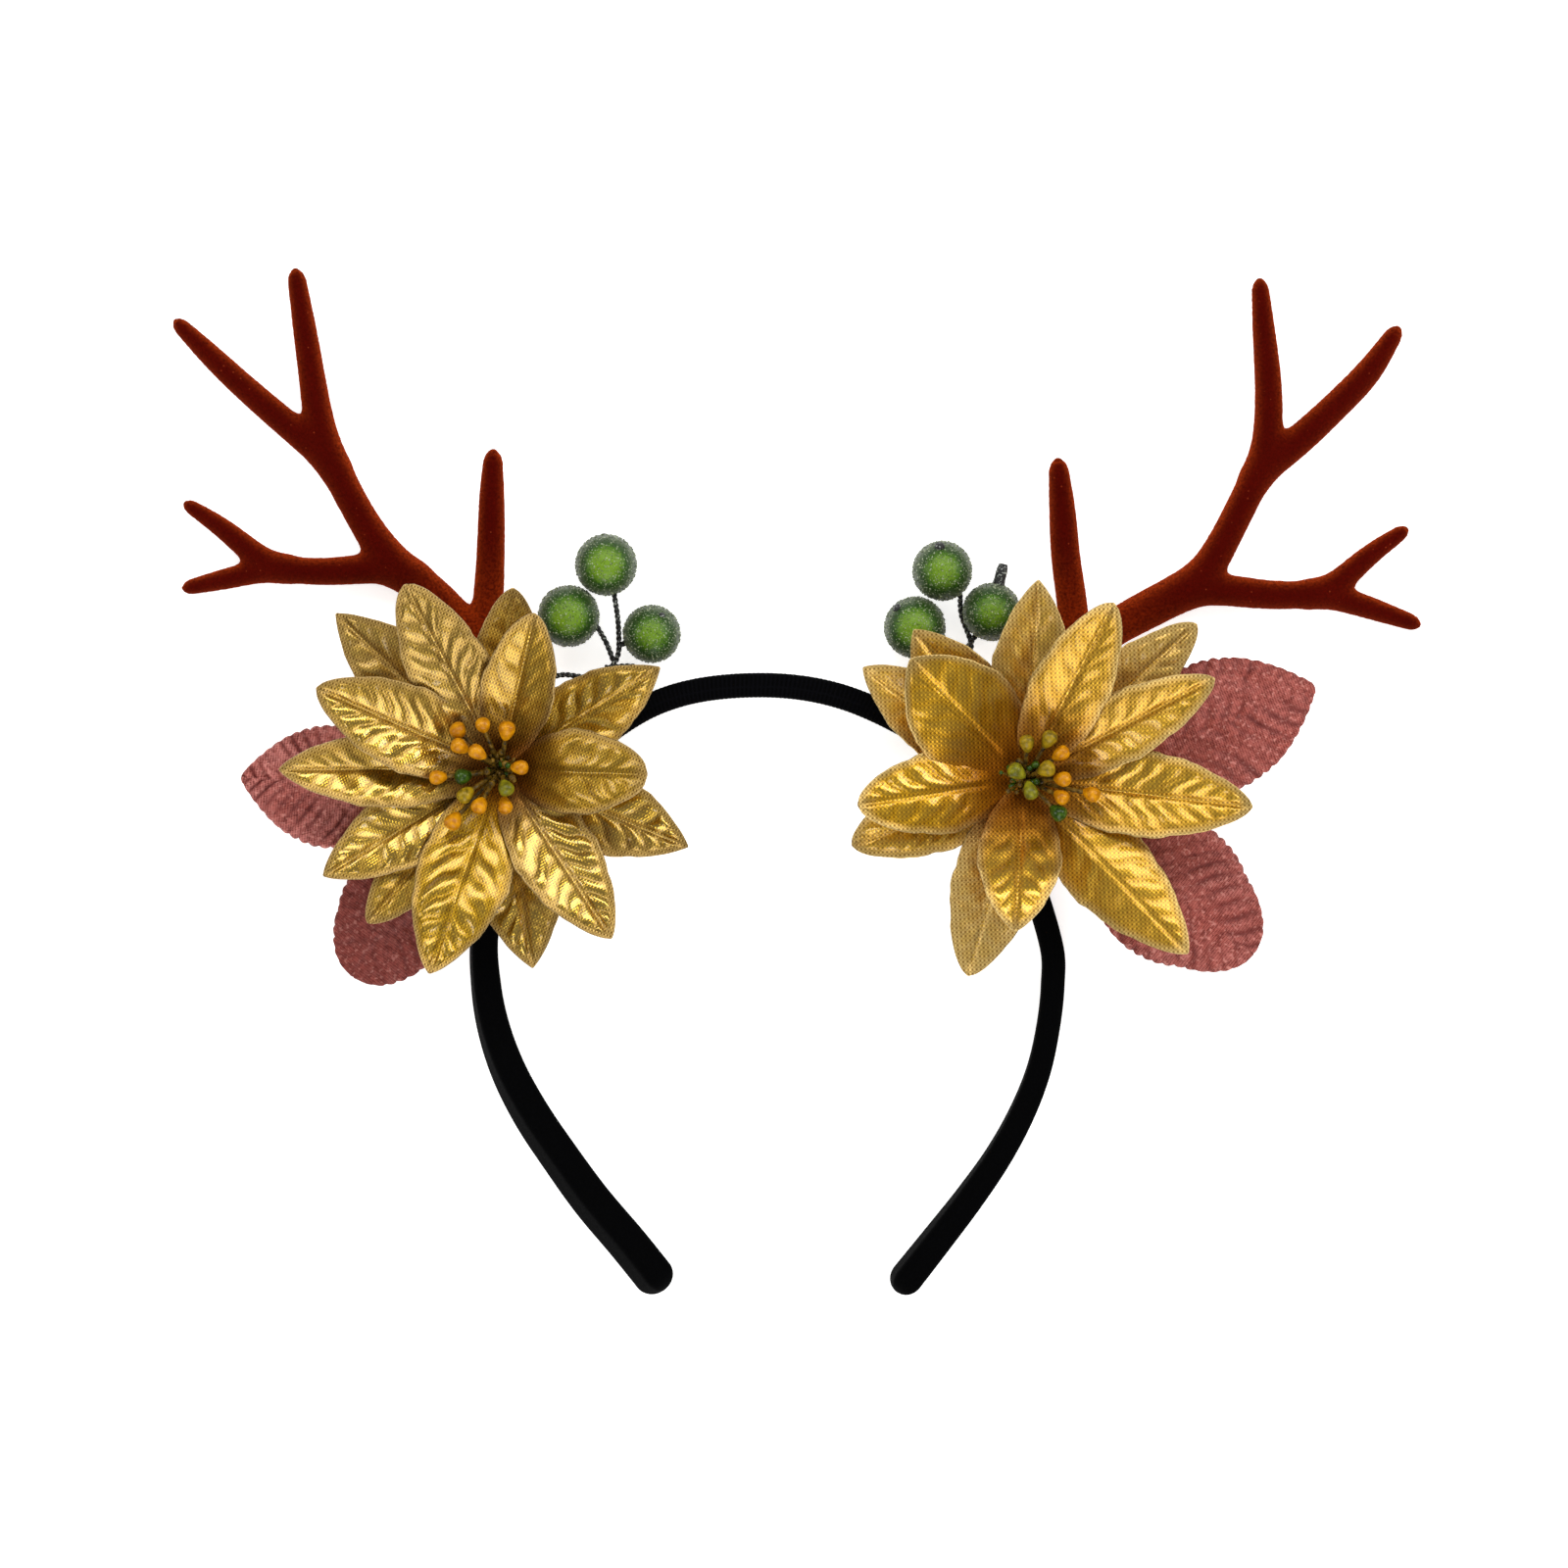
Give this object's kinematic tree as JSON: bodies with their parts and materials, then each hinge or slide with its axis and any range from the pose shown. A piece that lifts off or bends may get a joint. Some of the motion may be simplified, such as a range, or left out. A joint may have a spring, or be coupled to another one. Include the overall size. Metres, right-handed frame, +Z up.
{
  "type": "antler headband with cloth flowers",
  "caption": "Open black velvet hoop headband with flocked red-brown branching antlers, gold cloth poinsettias, rose leaves and frosted green berry sprigs; worn over the head.",
  "frame": {"origin": "Middle of the whole headband seen from above, on the surface that it lies on.", "axes": "+X from the left antler to the right antler, as seen from above with the antler tips up; +Y from the open ends of the hoop to the antler tips; +Z up, out of the flowers."},
  "size_m": [0.2714, 0.2236, 0.0384],
  "materials": {
    "black_velvet": "deep black velvet wrap, matte",
    "red_brown_flock": "short flock on moulded plastic, matte",
    "gold_cloth": "metallic gold woven cloth with pressed veins, satin",
    "rose_cloth": "dusty rose satin cloth with pressed veins",
    "stamen_lacquer": "orange and olive lacquered pips on green stems",
    "frosted_berry": "green with a clear sugar frosting",
    "dark_wire": "black paper-wrapped wire, frosted",
    "black_felt": "plain felt"
  },
  "bodies": {
    "root": {"band": "black_velvet", "antler_left": "red_brown_flock", "antler_right": "red_brown_flock", "pad_left": "black_felt", "pad_right": "black_felt", "leaf_left_side": "rose_cloth", "leaf_left_low": "rose_cloth", "leaf_right_high": "rose_cloth", "leaf_right_low": "rose_cloth", "flower_left_back_petals": "gold_cloth", "flower_left_front_petals": "gold_cloth", "flower_right_back_petals": "gold_cloth", "flower_right_front_petals": "gold_cloth", "stamens_left": "stamen_lacquer", "stamens_right": "stamen_lacquer", "berry_left_1": "frosted_berry", "berry_left_2": "frosted_berry", "berry_left_3": "frosted_berry", "berry_right_1": "frosted_berry", "berry_right_2": "frosted_berry", "berry_right_3": "frosted_berry", "sprig_left": "dark_wire", "sprig_right": "dark_wire"}
  },
  "joints": []
}
